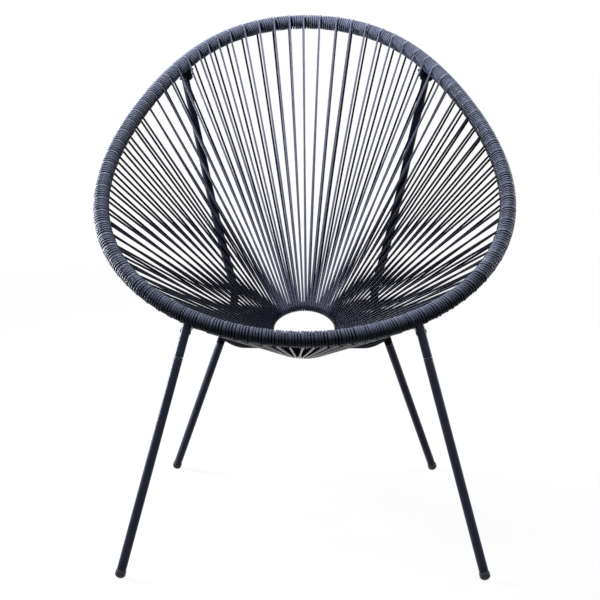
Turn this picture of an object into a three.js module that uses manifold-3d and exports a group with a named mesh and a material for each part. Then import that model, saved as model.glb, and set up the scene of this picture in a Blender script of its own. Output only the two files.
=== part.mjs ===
// Round wire lounge chair: a steel hoop and a small seat ring laced with round plastic cord,
// carried by two rear frame tubes, two side rails, a crossbar and four screw-on legs.
// Millimetres, +Z up, the front of the chair faces -Y, the floor is Z = 0.

import * as THREE from 'three';
import { mergeVertices } from 'three/addons/utils/BufferGeometryUtils.js';
import Module from 'manifold-3d';

const wasm = await Module();
wasm.setup();

// Driving sizes shared by several pieces
const clearance = 0.3;
const overrun = 40;
const cordDiameter = 4;
const degrees = THREE.MathUtils.degToRad;

// Hoop: a closed egg-shaped steel tube, wide in front and narrow behind, leaning back
const rim = {
  tubeDiameter: 19,
  wall: 1.5,
  halfWidth: 346.1,
  halfLength: 392.9,
  bow: 45,
  centreBack: 68.4,
  centreHeight: 629,
  tilt: degrees(38.32),
  widthSecondShare: 0.164,
  widthThirdShare: 0.061,
  lengthSecondShare: -0.0395,
  lengthThirdShare: -0.0267,
  sides: 8,
};

// Seat ring: the small steel ring that the lacing ends in, low at the front
const ring = {
  tubeDiameter: 14,
  radius: 66,
  centreBack: -13.6,
  centreHeight: 318.7,
  tilt: degrees(26.6),
  sides: 8,
};

// Lacing: at each station the cord goes from the hoop to the ring and back
const lacing = {
  stations: 90,
  stationsPerFan: 9,
  stationsPerRimStep: 1.5,
  stationsPerRingStep: 3,
  backToFrontSpacingShare: 1.6,
  stepAsideShare: 0.5,
  strandWidthShare: 0.85,
  strandDepthShare: 0.65,
  turnReachShare: 1.1,
  turnSteps: 6,
};

// Frame tubes: one size of round tube, bent and welded
const tube = { diameter: 15, wall: 1.2, sides: 8, bendSteps: 3 };

// Rear frame tubes: from the back of the hoop down behind the lacing, then out into the leg
const rearTube = {
  topStationShare: 0.3956,
  routeStationShares: [0.3939, 0.3822, 0.3628, 0.3356],
  routeShares: [0.96, 0.73, 0.52, 0.33],
  standOff: 24,
  standOffShares: [0.9, 1, 1, 1],
  kneeHalfWidth: 125.5,
  kneeBack: 26.5,
  kneeHeight: 369.6,
  kneeBend: 20,
  stubLength: 101,
};

// Front stubs: from the front leg joint straight up to the hoop
const frontStub = { topStationShare: 0.0979, length: 66.9 };

// Side rails: from the front stub back to the rear frame tube, bowed out clear of the lacing
const rail = {
  belowHoop: 24.5,
  aboveJoint: 69,
  bow: 24.5,
  bowShares: [0.68, 1],
  drop: 2.2,
  dropShares: [1, -1],
  alongShares: [0.243, 0.574],
  bend: 24,
};

// Crossbar: between the rear leg stubs, stepped down in the middle
const crossbar = { aboveJoint: 15, belowRing: 45.6, flatHalfWidth: 125, bend: 14 };

// Where the legs' centre lines meet the floor
const frontFoot = { halfWidth: 290.7, back: -364.4 };
const rearFoot = { halfWidth: 256.8, back: 102 };

// Leg joints and foot caps
const plug = { length: 24, stud: 8, studLength: 16, threadPlay: 0.3, sides: 12 };
const cap = { diameter: 17, sleeve: 13, stem: 18, dome: 6.5, domeSteps: 4, floorFlat: 0.6, sides: 12 };

// Lashing: cord wound round the top of each rear frame tube
const lashing = { loops: 4, stepsPerLoop: 24, sides: 6, pitchShare: 1.12, startShare: 0.75 };

// Sizes that follow
const cordRadius = cordDiameter / 2;
const rimRadius = rim.tubeDiameter / 2;
const ringTubeRadius = ring.tubeDiameter / 2;
const tubeRadius = tube.diameter / 2;
const tubeBore = tubeRadius - tube.wall;
const wrapInner = (rimRadius + clearance) / Math.cos(Math.PI / rim.sides);
const wrapOuter = rimRadius + cordDiameter;
const rimCordRadius = rimRadius + cordRadius;
const turnInner = (ringTubeRadius + clearance) / Math.cos(Math.PI / 2 / lacing.turnSteps);
const turnOuter = ringTubeRadius + cordDiameter;
const fanCount = lacing.stations / lacing.stationsPerFan;
const firstEdge = -lacing.stationsPerFan / 2;
const frontStation = frontStub.topStationShare * lacing.stations;
const rearStation = rearTube.topStationShare * lacing.stations;
const stationAngle = (2 * Math.PI) / lacing.stations;
const bowlCentre = new THREE.Vector3(0, rim.centreBack, rim.centreHeight);
const ringCentre = new THREE.Vector3(0, ring.centreBack, ring.centreHeight);
const ringAxis = new THREE.Vector3(0, -Math.sin(ring.tilt), Math.cos(ring.tilt));

const cordMaterial = { color: 0x46485a, roughness: 0.42, metalness: 0 };
const steelMaterial = { color: 0x1b2029, roughness: 0.35, metalness: 0.3 };
const zincMaterial = { color: 0x9a9c9e, roughness: 0.4, metalness: 0.9 };
const capMaterial = { color: 0x111317, roughness: 0.55, metalness: 0 };

const chair = new THREE.Group();
const sides = [-1, 1];

function addPiece(name, geometry, look) {
  const mesh = new THREE.Mesh(geometry, new THREE.MeshStandardMaterial(look));
  mesh.name = name;
  chair.add(mesh);
  return mesh;
}

const sideName = (side) => (side < 0 ? 'left' : 'right');
const numbered = (name, index) => `${name}_${String(index + 1).padStart(2, '0')}`;
const mirrored = (point, side) => new THREE.Vector3(point.x * side, point.y, point.z);

// Solids for cutting and joining
function toSolid(geometry) {
  const plain = geometry.clone();
  plain.deleteAttribute('normal');
  plain.deleteAttribute('uv');
  const merged = mergeVertices(plain, clearance / 1000);
  return new wasm.Manifold(new wasm.Mesh({
    numProp: 3,
    vertProperties: Float32Array.from(merged.attributes.position.array),
    triVerts: Uint32Array.from(merged.index.array),
  }));
}

function toGeometry(solid) {
  const mesh = solid.getMesh();
  const geometry = new THREE.BufferGeometry();
  geometry.setAttribute('position', new THREE.BufferAttribute(mesh.vertProperties, 3));
  geometry.setIndex(new THREE.BufferAttribute(mesh.triVerts, 1));
  geometry.computeVertexNormals();
  return geometry;
}

function largestBody(solid) {
  return solid.decompose().reduce((best, body) => (body.volume() > best.volume() ? body : best));
}

// Joins sections of equal point count; each section is a band, its second half running back
function loft(sections) {
  const count = sections[0].length;
  const positions = sections.flat().flatMap((point) => point.toArray());
  const index = [];
  const quad = (a, b, c, d) => index.push(a, b, c, a, c, d);
  for (let row = 0; row < sections.length - 1; row += 1) {
    for (let at = 0; at < count; at += 1) {
      const next = (at + 1) % count;
      quad(row * count + at, row * count + next, (row + 1) * count + next, (row + 1) * count + at);
    }
  }
  const last = (sections.length - 1) * count;
  for (let at = 0; at < count / 2 - 1; at += 1) {
    quad(count - 1 - at, count - 2 - at, at + 1, at);
    quad(last + at, last + at + 1, last + count - 2 - at, last + count - 1 - at);
  }
  const geometry = new THREE.BufferGeometry();
  geometry.setAttribute('position', new THREE.BufferAttribute(new Float32Array(positions), 3));
  geometry.setIndex(index);
  geometry.computeVertexNormals();
  return geometry;
}

// Hoop centre line: an ellipse with two small overtones, bowed up between front and back
class RimCurve extends THREE.Curve {
  getPoint(share, target = new THREE.Vector3()) {
    const angle = share * 2 * Math.PI;
    const across = rim.halfWidth * (Math.sin(angle)
      + rim.widthSecondShare * Math.sin(2 * angle)
      + rim.widthThirdShare * Math.sin(3 * angle));
    const along = rim.halfLength * (-Math.cos(angle)
      + rim.lengthSecondShare * Math.cos(2 * angle)
      + rim.lengthThirdShare * Math.cos(3 * angle));
    const lift = rim.bow * (1 - (along / rim.halfLength) ** 2);
    return target.set(
      across,
      rim.centreBack + along * Math.cos(rim.tilt) - lift * Math.sin(rim.tilt),
      rim.centreHeight + along * Math.sin(rim.tilt) + lift * Math.cos(rim.tilt),
    );
  }
}
const rimCurve = new RimCurve();
rimCurve.arcLengthDivisions = 720;

// Stations stand closer together at the front than at the back
function stationShare(station) {
  const half = lacing.stations / 2;
  const within = station - Math.floor(station / lacing.stations) * lacing.stations;
  const fromFront = Math.min(within, lacing.stations - within) / half;
  const growth = lacing.backToFrontSpacingShare - 1;
  const share = (fromFront + (growth / 2) * fromFront ** 2) / (2 + growth);
  return within <= half ? share : 1 - share;
}

// A line stepped evenly by its own parameter instead of by length
class SteppedCurve extends THREE.Curve {
  getPointAt(share, target) {
    return this.getPoint(share, target);
  }

  getTangentAt(share, target) {
    return this.getTangent(share, target);
  }
}

class RimStretch extends SteppedCurve {
  constructor(from, to) {
    super();
    this.from = from;
    this.to = to;
  }

  getPoint(share, target = new THREE.Vector3()) {
    return rimCurve.getPointAt(stationShare(this.from + (this.to - this.from) * share), target);
  }
}

class BentPath extends SteppedCurve {
  constructor(points) {
    super();
    this.points = points;
    this.steps = points.length - 1;
  }

  getPoint(share, target = new THREE.Vector3()) {
    const at = share * this.steps;
    const index = Math.min(Math.floor(at), this.steps - 1);
    return target.lerpVectors(this.points[index], this.points[index + 1], at - index);
  }
}

// Straight between the corners, each bend starting the given distance before its corner
function roundedPath(corners, bends) {
  const points = [corners[0]];
  for (let index = 1; index < corners.length - 1; index += 1) {
    const corner = corners[index];
    const before = pointTowards(corner, corners[index - 1], bends[index - 1]);
    const after = pointTowards(corner, corners[index + 1], bends[index - 1]);
    points.push(...new THREE.QuadraticBezierCurve3(before, corner, after).getPoints(tube.bendSteps));
  }
  points.push(corners[corners.length - 1]);
  return new BentPath(points);
}

// A round section pushed along a line, hollow where a bore is given
function tubeAlong(curve, radius, bore, steps, facets) {
  const section = new THREE.Shape();
  section.absarc(0, 0, radius, 0, 2 * Math.PI);
  if (bore > 0) {
    const hole = new THREE.Path();
    hole.absarc(0, 0, bore, 0, 2 * Math.PI, true);
    section.holes.push(hole);
  }
  return new THREE.ExtrudeGeometry(section, { steps, curveSegments: facets / 2, extrudePath: curve });
}

// The room that a round tube takes, for cutting what meets it
function roomFor(curve, radius, steps, facets) {
  const around = (radius + clearance) / Math.cos(Math.PI / facets);
  return toSolid(tubeAlong(curve, around, 0, steps, facets));
}

function turned(profile, facets, startAngle = 0) {
  const points = profile.map(([radius, height]) => new THREE.Vector2(radius, height));
  return new THREE.LatheGeometry(points, facets, startAngle).rotateX(Math.PI / 2);
}

// Lacing geometry at one station: hoop point, ring point and the directions between them
function stationFrame(station) {
  const share = stationShare(station);
  const hoop = rimCurve.getPointAt(share);
  const angle = station * stationAngle;
  const radial = new THREE.Vector3(
    Math.sin(angle),
    -Math.cos(angle) * Math.cos(ring.tilt),
    -Math.cos(angle) * Math.sin(ring.tilt),
  );
  const ringPoint = ringCentre.clone().addScaledVector(radial, ring.radius);
  const line = new THREE.Vector3().subVectors(hoop, ringPoint).normalize();
  const inward = (tangent, from) => {
    const normal = new THREE.Vector3().crossVectors(tangent, line).normalize();
    const towards = new THREE.Vector3().subVectors(bowlCentre, from);
    return normal.dot(towards) < 0 ? normal.negate() : normal;
  };
  const ringTangent = new THREE.Vector3().crossVectors(ringAxis, radial);
  const ringNormal = inward(ringTangent, ringPoint);
  const hoopNormal = inward(rimCurve.getTangentAt(share), hoop);
  return { hoop, ringPoint, line, ringTangent, ringNormal, hoopNormal };
}

// A point a stand-off below the lacing: at a station, a share of the way from ring to hoop
function underLacing(station, share, standOff) {
  const frame = stationFrame(station);
  const normal = frame.ringNormal.clone().lerp(frame.hoopNormal, share).normalize();
  return frame.ringPoint.clone().lerp(frame.hoop, share).addScaledVector(normal, -standOff);
}

// Hoop: its ends meet at the weld behind, a clearance apart
const slip = (clearance / 2) * (lacing.stations / rimCurve.getLength());
const weld = lacing.stations / 2;
const hoopLine = new RimStretch(weld + slip, weld + lacing.stations - slip);
const hoopSteps = lacing.stations / lacing.stationsPerRimStep;
const hoopTube = tubeAlong(hoopLine, rimRadius, rimRadius - rim.wall, hoopSteps, rim.sides);
addPiece('rim_tube', hoopTube, steelMaterial);

// Seat ring
const ringProfile = Array.from({ length: ring.sides + 1 }, (_, index) => {
  const angle = (index / ring.sides) * 2 * Math.PI;
  return [ring.radius + ringTubeRadius * Math.cos(angle), ringTubeRadius * Math.sin(angle)];
});
const ringSteps = lacing.stations / lacing.stationsPerRingStep;
const ringGeometry = turned(ringProfile, ringSteps, firstEdge * stationAngle);
ringGeometry.rotateX(ring.tilt).translate(ringCentre.x, ringCentre.y, ringCentre.z);
addPiece('seat_ring', ringGeometry, steelMaterial);

// The cord's turns round the ring, in one section: over the inner side, then out along the strands
function turnSection(station) {
  const frame = stationFrame(station);
  const back = new THREE.Vector3().crossVectors(frame.ringNormal, frame.ringTangent);
  const edge = (radius) => {
    const arc = Array.from({ length: lacing.turnSteps + 1 }, (_, index) => {
      const angle = (index / lacing.turnSteps) * Math.PI;
      return frame.ringPoint.clone()
        .addScaledVector(frame.ringNormal, radius * Math.cos(angle))
        .addScaledVector(back, radius * Math.sin(angle));
    });
    const reach = lacing.turnReachShare * cordDiameter;
    const along = (point) => point.clone().addScaledVector(frame.line, reach);
    return [along(arc[0]), ...arc, along(arc[arc.length - 1])];
  };
  return [...edge(turnInner), ...edge(turnOuter).reverse()];
}

// Lower strands step aside where a frame tube meets the hoop
const tubeStations = [frontStation, rearStation]
  .flatMap((station) => [station, lacing.stations - station]);

function landingOf(station) {
  const aside = lacing.stepAsideShare;
  const near = tubeStations.find((at) => Math.abs(at - station) < aside);
  if (near === undefined) return station;
  return station < near || near > weld ? near - aside : near + aside;
}

function strand(station, upper) {
  const frame = stationFrame(station);
  const side = upper ? 1 : -1;
  const start = frame.ringPoint.clone()
    .addScaledVector(frame.ringNormal, side * ((turnOuter + turnInner) / 2))
    .addScaledVector(frame.line, cordRadius);
  const landing = upper ? frame : stationFrame(landingOf(station));
  const end = landing.hoop.clone().addScaledVector(landing.hoopNormal, side * rimCordRadius);
  const direction = new THREE.Vector3().subVectors(end, start).normalize();
  const clearOfWrap = wrapOuter + cordDiameter;
  end.addScaledVector(direction, -Math.sqrt(clearOfWrap ** 2 - rimCordRadius ** 2));
  const section = (centre, normal) => {
    const across = new THREE.Vector3().crossVectors(normal, direction).normalize();
    const depth = new THREE.Vector3().crossVectors(direction, across);
    const corner = (u, v) => centre.clone()
      .addScaledVector(across, u * lacing.strandWidthShare * cordRadius)
      .addScaledVector(depth, v * lacing.strandDepthShare * cordRadius);
    return [corner(-1, -1), corner(1, -1), corner(1, 1), corner(-1, 1)];
  };
  return toSolid(loft([section(start, frame.ringNormal), section(end, landing.hoopNormal)]));
}

// Fans of strands, two for each station, joined at the ring by the turns there
for (let fan = 0; fan < fanCount; fan += 1) {
  const from = firstEdge + fan * lacing.stationsPerFan;
  const gap = clearance / 2 / ring.radius / stationAngle;
  const steps = lacing.stationsPerFan / lacing.stationsPerRingStep;
  const sections = Array.from({ length: steps + 1 }, (_, index) => {
    const trim = [gap, 0, -gap][Math.sign(index) + (index === steps ? 1 : 0)];
    return turnSection(from + index * lacing.stationsPerRingStep + trim);
  });
  let solid = toSolid(loft(sections));
  for (let step = 0; step < lacing.stationsPerFan; step += 1) {
    const station = Math.ceil(from) + step;
    solid = solid.add(strand(station, true)).add(strand(station, false));
  }
  addPiece(numbered('seat_cords', fan), toGeometry(solid), cordMaterial);
}

// Leg lines: from the floor up to the knee behind, and to the hoop in front
const frontTop = stationFrame(frontStation).hoop;
const frontFootPoint = new THREE.Vector3(frontFoot.halfWidth, frontFoot.back, 0);
const knee = new THREE.Vector3(rearTube.kneeHalfWidth, rearTube.kneeBack, rearTube.kneeHeight);
const rearFootPoint = new THREE.Vector3(rearFoot.halfWidth, rearFoot.back, 0);

function pointTowards(from, other, distance) {
  return from.clone().lerp(other, distance / from.distanceTo(other));
}
const frontJoint = pointTowards(frontTop, frontFootPoint, frontStub.length);
const rearJoint = pointTowards(knee, rearFootPoint, rearTube.stubLength);

// Lines of the frame tubes on one side
function rearTubePath(side) {
  const hoopPoint = stationFrame(rearStation).hoop;
  const route = rearTube.routeStationShares.map((share, index) => (
    underLacing(
      share * lacing.stations,
      rearTube.routeShares[index],
      rearTube.standOff * rearTube.standOffShares[index],
    )
  ));
  const bow = new THREE.CatmullRomCurve3(route).getPoints(tube.bendSteps + 1);
  const bend = new THREE.QuadraticBezierCurve3(
    pointTowards(knee, bow[bow.length - 1], rearTube.kneeBend),
    knee,
    pointTowards(knee, rearJoint, rearTube.kneeBend),
  );
  const points = [hoopPoint, ...bow, ...bend.getPoints(tube.bendSteps), rearJoint];
  return new BentPath(points.map((point) => mirrored(point, side)));
}

function stubPath(side) {
  return new BentPath([frontJoint, frontTop].map((point) => mirrored(point, side)));
}

function railPath(side) {
  const front = pointTowards(frontTop, frontFootPoint, rail.belowHoop);
  const rear = pointTowards(rearJoint, knee, rail.aboveJoint);
  const bowed = rail.alongShares.map((share, index) => {
    const aside = rail.bow * rail.bowShares[index];
    const down = rail.drop * rail.dropShares[index];
    return front.clone().lerp(rear, share).add(new THREE.Vector3(aside, 0, -down));
  });
  const corners = [front, ...bowed, rear].map((point) => mirrored(point, side));
  return roundedPath(corners, [rail.bend, rail.bend]);
}

const crossbarEnd = pointTowards(rearJoint, knee, crossbar.aboveJoint);
const crossbarLow = new THREE.Vector3(
  crossbar.flatHalfWidth,
  crossbarEnd.y,
  ring.centreHeight - crossbar.belowRing,
);
const crossbarLine = roundedPath(
  [mirrored(crossbarEnd, -1), mirrored(crossbarLow, -1), crossbarLow, crossbarEnd],
  [crossbar.bend, crossbar.bend],
);

// Frame tubes, each end cut to the tube that it meets
const frameTube = (path) => tubeAlong(path, tubeRadius, tubeBore, path.steps, tube.sides);
const roomForTube = (path) => roomFor(path, tubeRadius, path.steps, tube.sides);
const rearPaths = sides.map(rearTubePath);
const railPaths = sides.map(railPath);
const stubPaths = sides.map(stubPath);
const rearRooms = rearPaths.map(roomForTube);
const railRooms = railPaths.map(roomForTube);
const stubRooms = stubPaths.map(roomForTube);
const hoopRoom = roomFor(hoopLine, rimRadius, hoopSteps, rim.sides);

sides.forEach((side, index) => {
  const rearSolid = toSolid(frameTube(rearPaths[index])).subtract(hoopRoom);
  const stubSolid = toSolid(frameTube(stubPaths[index])).subtract(hoopRoom);
  const railSolid = toSolid(frameTube(railPaths[index]))
    .subtract(hoopRoom)
    .subtract(stubRooms[index])
    .subtract(rearRooms[index]);
  addPiece(`rear_frame_tube_${sideName(side)}`, toGeometry(largestBody(rearSolid)), steelMaterial);
  addPiece(`front_stub_${sideName(side)}`, toGeometry(largestBody(stubSolid)), steelMaterial);
  addPiece(`side_rail_${sideName(side)}`, toGeometry(largestBody(railSolid)), steelMaterial);
});

const crossbarSolid = toSolid(frameTube(crossbarLine)).subtract(rearRooms[0]).subtract(rearRooms[1]);
addPiece('crossbar', toGeometry(largestBody(crossbarSolid)), steelMaterial);

// Cord wound on the hoop, in lengths between stations, open where a tube meets the hoop
for (let fan = 0; fan < fanCount; fan += 1) {
  const from = firstEdge + fan * lacing.stationsPerFan;
  const stretch = new RimStretch(from + slip, from + lacing.stationsPerFan - slip);
  const steps = lacing.stationsPerFan / lacing.stationsPerRimStep;
  let solid = toSolid(tubeAlong(stretch, wrapOuter, wrapInner, steps, rim.sides));
  [...rearRooms, ...stubRooms, ...railRooms].forEach((room) => {
    solid = solid.subtract(room);
  });
  addPiece(numbered('rim_wrap', fan), toGeometry(largestBody(solid)), cordMaterial);
}

// Lashing: one unbroken cord wound round the top of each rear frame tube
class LashingCurve extends THREE.Curve {
  constructor(side) {
    super();
    const [, top, below] = rearPaths[(side + 1) / 2].points;
    this.top = top;
    this.direction = new THREE.Vector3().subVectors(below, top).normalize();
    this.across = new THREE.Vector3(0, 0, 1).cross(this.direction).normalize();
    this.outward = new THREE.Vector3().crossVectors(this.direction, this.across);
    this.side = side;
  }

  getPoint(share, target = new THREE.Vector3()) {
    const angle = this.side * share * lashing.loops * 2 * Math.PI;
    const radius = tubeRadius + clearance + cordRadius;
    const along = (lashing.startShare + share * lashing.loops * lashing.pitchShare) * cordDiameter;
    return target.copy(this.top)
      .addScaledVector(this.direction, along)
      .addScaledVector(this.across, radius * Math.cos(angle))
      .addScaledVector(this.outward, radius * Math.sin(angle));
  }
}

sides.forEach((side) => {
  const curve = new LashingCurve(side);
  const steps = lashing.loops * lashing.stepsPerLoop;
  const geometry = tubeAlong(curve, cordRadius, 0, steps, lashing.sides);
  addPiece(`strut_lashing_${sideName(side)}`, geometry, cordMaterial);
  const points = curve.getSpacedPoints(steps);
  const apart = lashing.stepsPerLoop / 2;
  const gaps = points.flatMap((point, at) => points.slice(at + apart).map((other) => point.distanceTo(other)));
  console.log(`lashing ${sideName(side)}: least gap to itself ${Math.min(...gaps) - cordDiameter} mm`);
});

// Legs: each screws into its stub with a stud, and stands on a rounded cap
const up = new THREE.Vector3(0, 0, 1);
const plugRadius = tubeBore * Math.cos(Math.PI / tube.sides) - clearance;
const studRadius = plug.stud / 2;
const capRadius = cap.diameter / 2;

function boredPlug() {
  const bore = studRadius + plug.threadPlay;
  return turned([
    [bore, 0],
    [plugRadius, 0],
    [plugRadius, plug.length],
    [bore, plug.length],
    [bore, 0],
  ], plug.sides);
}

function studdedPlug() {
  return turned([
    [0, -plug.length],
    [plugRadius, -plug.length],
    [plugRadius, 0],
    [studRadius, 0],
    [studRadius, plug.studLength],
    [0, plug.studLength],
  ], plug.sides);
}

function footCap(line, foot) {
  const dome = Array.from({ length: cap.domeSteps + 1 }, (_, index) => {
    const angle = (index / cap.domeSteps) * (Math.PI / 2);
    return [capRadius * Math.sin(angle), cap.dome * (1 - Math.cos(angle))];
  });
  const body = turned([
    ...dome,
    [capRadius, cap.sleeve],
    [plugRadius, cap.sleeve],
    [plugRadius, cap.sleeve + cap.stem],
    [0, cap.sleeve + cap.stem],
  ], cap.sides);
  const lean = Math.acos(line.z);
  const drop = Math.hypot(capRadius * Math.sin(lean), cap.dome * Math.cos(lean)) - cap.dome * Math.cos(lean);
  const base = foot.clone().setZ(drop - cap.floorFlat);
  body.applyQuaternion(new THREE.Quaternion().setFromUnitVectors(up, line));
  body.translate(base.x, base.y, base.z);
  const floor = new THREE.BoxGeometry(overrun, overrun, overrun).translate(base.x, base.y, -overrun / 2);
  return { base, geometry: toGeometry(toSolid(body).subtract(toSolid(floor))) };
}

[
  { name: 'front', foot: frontFootPoint, joint: frontJoint },
  { name: 'rear', foot: rearFootPoint, joint: rearJoint },
].forEach(({ name, foot, joint }) => {
  sides.forEach((side) => {
    const label = `${name}_${sideName(side)}`;
    const high = mirrored(joint, side);
    const low = mirrored(foot, side);
    const line = new THREE.Vector3().subVectors(high, low).normalize();
    const turnTo = new THREE.Quaternion().setFromUnitVectors(up, line);
    const along = (from, distance) => from.clone().addScaledVector(line, distance);
    const legTop = along(high, -clearance);
    const { base, geometry } = footCap(line, low);
    const legLine = new THREE.LineCurve3(along(base, cap.sleeve + clearance), legTop);

    addPiece(`leg_${label}`, tubeAlong(legLine, tubeRadius, tubeBore, 1, plug.sides), steelMaterial);
    addPiece(`foot_cap_${label}`, geometry, capMaterial);

    const bush = addPiece(`leg_bush_${label}`, boredPlug(), zincMaterial);
    bush.position.copy(high);
    bush.quaternion.copy(turnTo);

    const stud = addPiece(`leg_stud_${label}`, studdedPlug(), zincMaterial);
    stud.position.copy(legTop);
    stud.quaternion.copy(turnTo);
  });
});

// The origin is the middle of the chair's outline on the floor
const bounds = new THREE.Box3().setFromObject(chair);
chair.position.y = -(bounds.min.y + bounds.max.y) / 2;

export default chair;
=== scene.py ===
"""Round cord lounge chair: dressed model, studio and camera."""

import math

import bpy
import numpy as np
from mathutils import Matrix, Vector


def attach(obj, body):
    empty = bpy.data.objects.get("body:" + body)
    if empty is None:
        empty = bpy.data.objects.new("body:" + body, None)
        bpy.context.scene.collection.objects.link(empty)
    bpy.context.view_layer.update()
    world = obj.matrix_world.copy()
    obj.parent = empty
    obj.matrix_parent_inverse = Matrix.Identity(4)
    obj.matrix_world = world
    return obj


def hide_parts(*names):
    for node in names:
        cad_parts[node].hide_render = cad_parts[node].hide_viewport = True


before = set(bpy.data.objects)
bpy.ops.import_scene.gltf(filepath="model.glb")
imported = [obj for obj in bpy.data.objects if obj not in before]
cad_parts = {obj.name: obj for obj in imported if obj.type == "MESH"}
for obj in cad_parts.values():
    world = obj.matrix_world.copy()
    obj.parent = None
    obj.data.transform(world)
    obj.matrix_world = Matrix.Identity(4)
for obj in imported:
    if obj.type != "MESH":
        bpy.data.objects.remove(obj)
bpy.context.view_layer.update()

# Sizes in millimetres, with cord and tubes given by their radius
CORD = 2.0
CORD_DRAWN = 1.98
HOOP = 9.5
HOOP_WIND = HOOP + CORD
RING = 7.0
RING_WIND = RING + CORD
TUBE = 7.5
HOOP_CENTRE = np.array([0.0, 68.4, 629.0])
HOOP_TILT = math.radians(38.32)
HOOP_RISE = 45
HALF_LENGTH = 392.9
HALF_WIDTH = 346.1
LENGTH_WAVE_SHARES = (0.0395, 0.0267)
WIDTH_WAVE_SHARES = (0.164, 0.061)
RING_CENTRE = np.array([0.0, -13.6, 318.7])
RING_TILT = math.radians(26.6)
RING_RADIUS = 66.0
RING_AXIS = np.array([0.0, -math.sin(RING_TILT), math.cos(RING_TILT)])
UP = np.array([0.0, 0.0, 1.0])
BACKWARDS = np.array([0.0, 1.0, 0.0])

# Stations run round the hoop from its front, a little wider apart towards the back
STATIONS = 90
STATIONS_PER_FAN = 9
GRADING = 0.3

# From the places used here to those of the frame: a shift in depth, then metres
DEPTH_SHIFT = -7.41
METRES = 0.001

SIDES = ((-1, "left"), (1, "right"))
rng = np.random.default_rng(7)


# Lines in space
def unit(v):
    return v / np.linalg.norm(v, axis=-1, keepdims=True)


def fade(x, start, width):
    """0 up to the start, rising smoothly to 1 over the width."""
    x = np.clip((x - start) / width, 0, 1)
    return x * x * (3 - 2 * x)


def towards(corner, other, distance):
    return corner + (other - corner) * distance / np.linalg.norm(other - corner)


def mirror(points, side):
    return points * np.array([side, 1, 1])


def lengths_along(points):
    """Length of the line from its start to each of its points."""
    return np.concatenate([[0], np.cumsum(np.linalg.norm(np.diff(points, axis=0), axis=1))])


def bezier(a, b, c, steps=24):
    t = np.linspace(0, 1, steps + 1)[:, None]
    return a * (1 - t) ** 2 + 2 * b * t * (1 - t) + c * t ** 2


def catmull(points, steps=16):
    """Centripetal Catmull-Rom line through the points."""
    before = 2 * points[0] - points[1]
    after = 2 * points[-1] - points[-2]
    p = [before, *points, after]
    out = []
    for i in range(1, len(p) - 2):
        knots = [0.0]
        for a, b in zip(p[i - 1:i + 2], p[i:i + 3]):
            knots.append(knots[-1] + math.sqrt(np.linalg.norm(b - a)))
        t = np.linspace(knots[1], knots[2], steps, endpoint=False)[:, None]

        def mix(u, v, first, last):
            span = knots[last] - knots[first]
            return u * (knots[last] - t) / span + v * (t - knots[first]) / span

        a1 = mix(p[i - 1], p[i], 0, 1)
        a2 = mix(p[i], p[i + 1], 1, 2)
        a3 = mix(p[i + 1], p[i + 2], 2, 3)
        b1 = mix(a1, a2, 0, 2)
        b2 = mix(a2, a3, 1, 3)
        out.append(mix(b1, b2, 1, 2))
    return np.concatenate(out + [points[-1][None]])


def even(points, step):
    """The line stepped evenly by length, with points that repeat left out."""
    points = np.asarray(points)
    same_place = 1e-6
    moved = np.linalg.norm(np.diff(points, axis=0), axis=1) > same_place
    points = points[np.concatenate([[True], moved])]
    along = lengths_along(points)
    at = np.linspace(0, along[-1], max(2, int(round(along[-1] / step)) + 1))
    return np.stack([np.interp(at, along, points[:, i]) for i in range(3)], axis=-1)


def eased(points, blur, step=2.5):
    """An evenly stepped line with its kinks softened over the length blur, ends kept."""
    line = even(points, step)
    reach = int(3 * blur / step)
    before = 2 * line[0] - line[1:reach + 1][::-1]
    after = 2 * line[-1] - line[-reach - 1:-1][::-1]
    padded = np.concatenate([before, line, after])
    weights = np.exp(-0.5 * (np.arange(-reach, reach + 1) * step / blur) ** 2)
    weights /= weights.sum()
    return np.stack([np.convolve(padded[:, i], weights, mode="valid") for i in range(3)], axis=-1)


def rounded(corners, bend):
    """A line through corners, each cut back by the length bend and rounded."""
    points = [corners[0][None]]
    for previous, corner, following in zip(corners, corners[1:], corners[2:]):
        start = towards(corner, previous, bend)
        end = towards(corner, following, bend)
        points.append(bezier(start, corner, end))
    points.append(corners[-1][None])
    return np.concatenate(points)


# Hoop, seat ring and the lacing between them
def hoop_point(angle):
    """The hoop's egg outline from above, tilted, with its sides lifted."""
    length_second, length_third = LENGTH_WAVE_SHARES
    width_second, width_third = WIDTH_WAVE_SHARES
    along = HALF_LENGTH * (
        -np.cos(angle) - length_second * np.cos(2 * angle) - length_third * np.cos(3 * angle))
    across = HALF_WIDTH * (
        np.sin(angle) + width_second * np.sin(2 * angle) + width_third * np.sin(3 * angle))
    lift = HOOP_RISE * (1 - (along / HALF_LENGTH) ** 2)
    return np.stack([
        across,
        HOOP_CENTRE[1] + along * math.cos(HOOP_TILT) - lift * math.sin(HOOP_TILT),
        HOOP_CENTRE[2] + along * math.sin(HOOP_TILT) + lift * math.cos(HOOP_TILT),
    ], axis=-1)


HOOP_STEPS = 14400
ANGLES = np.linspace(0, 2 * math.pi, HOOP_STEPS + 1)
LENGTHS = lengths_along(hoop_point(ANGLES))
HOOP_LENGTH = LENGTHS[-1]


def station_share(station):
    """Share of the hoop's length from its front to a station."""
    within = np.mod(station, STATIONS)
    f = np.minimum(within, STATIONS - within) / (STATIONS / 2)
    share = (f + GRADING * f ** 2) / (2 * (1 + GRADING))
    return np.where(within <= STATIONS / 2, share, 1 - share)


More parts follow.
